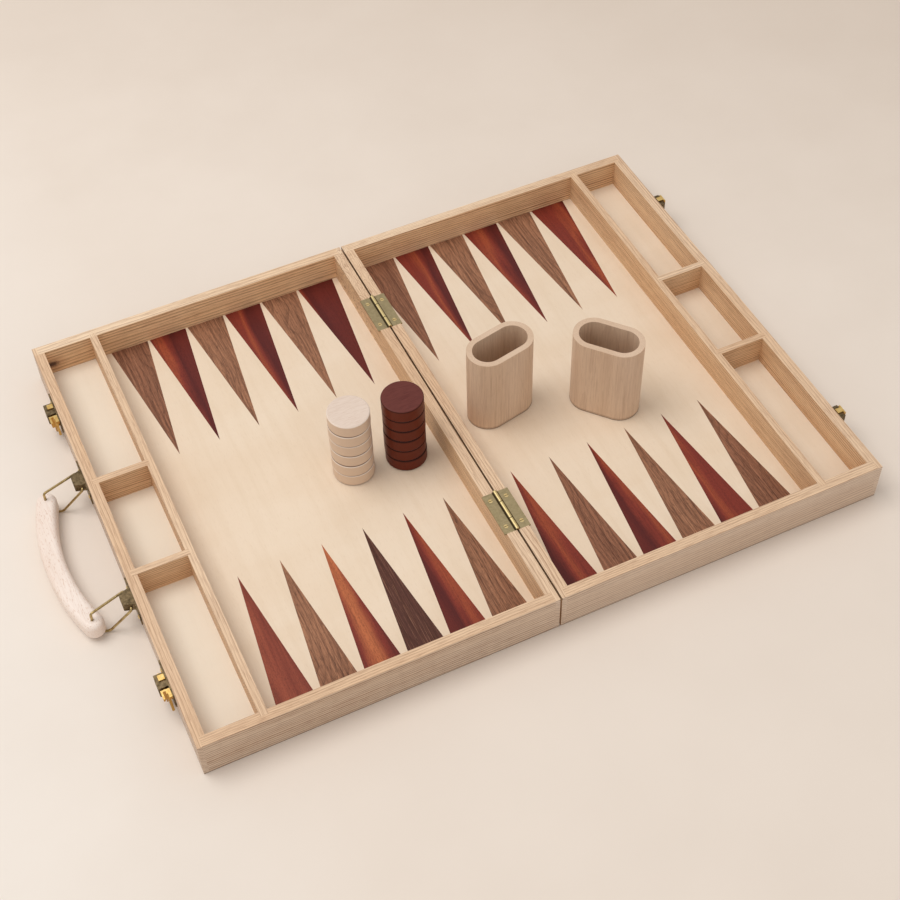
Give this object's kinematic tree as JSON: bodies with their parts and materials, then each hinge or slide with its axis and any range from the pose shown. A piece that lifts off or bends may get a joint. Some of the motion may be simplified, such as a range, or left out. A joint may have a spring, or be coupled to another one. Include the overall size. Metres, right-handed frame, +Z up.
{
  "type": "backgammon board",
  "caption": "Folding wooden backgammon board with inlaid points, side trays, brass hinges, latches, carry handle, stacked checkers and oblong dice cups.",
  "frame": {"origin": "On the table, in the middle of the underside of the left hinge rail, beside the seam between the halves.", "axes": "+X along the open board from the handle side to the catch side, +Y from front to back, +Z up from the table."},
  "size_m": [0.6554, 0.44, 0.0893],
  "materials": {
    "ash_frame": "satin",
    "ash_divider": "satin",
    "cream_panel": "satin",
    "walnut": "satin",
    "padauk": "gloss",
    "hinge_brass": "satin",
    "pin_steel": "satin",
    "screw_brass": "satin",
    "dark_bronze": "satin",
    "bright_brass": "gloss",
    "grip_wood": "satin",
    "bail_wire": "gloss",
    "pale_checker": "satin",
    "dark_checker": "satin",
    "cup_wood": "satin"
  },
  "bodies": {
    "left_half": {"left_back_rail": "ash_frame", "left_front_rail": "ash_frame", "left_side_rail": "ash_frame", "left_hinge_rail": "ash_frame", "left_floor_panel": "cream_panel", "left_long_divider": "ash_divider", "left_back_cross_divider": "ash_divider", "left_front_cross_divider": "ash_divider", "left_walnut_points": "walnut", "left_padauk_points": "padauk", "left_hinge_screws": "screw_brass", "left_plate_screws": "screw_brass", "back_hinge_left_leaf": "hinge_brass", "front_hinge_left_leaf": "hinge_brass", "back_hinge_pin": "pin_steel", "front_hinge_pin": "pin_steel", "back_handle_bracket": "dark_bronze", "front_handle_bracket": "dark_bronze", "back_latch_base": "dark_bronze", "front_latch_base": "dark_bronze", "latch_pins": "pin_steel", "latch_squares": "bright_brass"},
    "right_half": {"right_back_rail": "ash_frame", "right_front_rail": "ash_frame", "right_side_rail": "ash_frame", "right_hinge_rail": "ash_frame", "right_floor_panel": "cream_panel", "right_long_divider": "ash_divider", "right_back_cross_divider": "ash_divider", "right_front_cross_divider": "ash_divider", "right_walnut_points": "walnut", "right_padauk_points": "padauk", "right_hinge_screws": "screw_brass", "right_plate_screws": "screw_brass", "back_hinge_right_leaf": "hinge_brass", "front_hinge_right_leaf": "hinge_brass", "back_catch": "dark_bronze", "front_catch": "dark_bronze", "catch_hooks": "bright_brass"},
    "handle": {"handle_grip": "grip_wood", "back_handle_bail": "bail_wire", "front_handle_bail": "bail_wire"},
    "back_lever": {"back_latch_lever": "bright_brass"},
    "front_lever": {"front_latch_lever": "bright_brass"},
    "white_stack": {"white_checker_1": "pale_checker", "white_checker_2": "pale_checker", "white_checker_3": "pale_checker", "white_checker_4": "pale_checker", "white_checker_5": "pale_checker", "white_checker_6": "pale_checker"},
    "dark_stack": {"dark_checker_1": "dark_checker", "dark_checker_2": "dark_checker", "dark_checker_3": "dark_checker", "dark_checker_4": "dark_checker", "dark_checker_5": "dark_checker", "dark_checker_6": "dark_checker"},
    "left_cup": {"left_cup_body": "cup_wood", "left_cup_base": "cup_wood"},
    "right_cup": {"right_cup_body": "cup_wood", "right_cup_base": "cup_wood"}
  },
  "joints": [
    {"name": "board_fold", "type": "hinge", "parent": "left_half", "child": "right_half", "pos_m": [0.0053, 0, 0.0374], "axis": [0, -1, 0], "range_deg": [0, 180]},
    {"name": "handle_swing", "type": "hinge", "parent": "left_half", "child": "handle", "pos_m": [-0.2941, 0, 0.026], "axis": [0, 1, 0], "range_deg": [0, 90]},
    {"name": "back_latch_swing", "type": "hinge", "parent": "left_half", "child": "back_lever", "pos_m": [-0.2942, 0.15, 0.026], "axis": [0, 1, 0], "range_deg": [0, 156]},
    {"name": "front_latch_swing", "type": "hinge", "parent": "left_half", "child": "front_lever", "pos_m": [-0.2942, -0.15, 0.026], "axis": [0, 1, 0], "range_deg": [0, 156]},
    {"name": "white_stack_tip", "type": "hinge", "parent": "left_half", "child": "white_stack", "pos_m": [-0.0805, 0.00775, 0.0103], "axis": [-1, 0, 0], "range_deg": [0, 90]},
    {"name": "dark_stack_tip", "type": "hinge", "parent": "left_half", "child": "dark_stack", "pos_m": [-0.0345, 0.00285, 0.0103], "axis": [-1, 0, 0], "range_deg": [0, 90]},
    {"name": "left_cup_tip", "type": "hinge", "parent": "right_half", "child": "left_cup", "pos_m": [0.0646, -0.0199, 0.0103], "axis": [0.9781, 0.2079, 0], "range_deg": [0, 90]},
    {"name": "right_cup_tip", "type": "hinge", "parent": "right_half", "child": "right_cup", "pos_m": [0.15911, -0.02399, 0.0103], "axis": [-0.6561, 0.7547, 0], "range_deg": [0, 90]}
  ],
  "couplings": [
    {"joint": "white_stack_tip", "follows": "board_fold", "ratio": 0.5},
    {"joint": "dark_stack_tip", "follows": "board_fold", "ratio": 0.5},
    {"joint": "left_cup_tip", "follows": "board_fold", "ratio": 0.5},
    {"joint": "right_cup_tip", "follows": "board_fold", "ratio": 0.5}
  ]
}
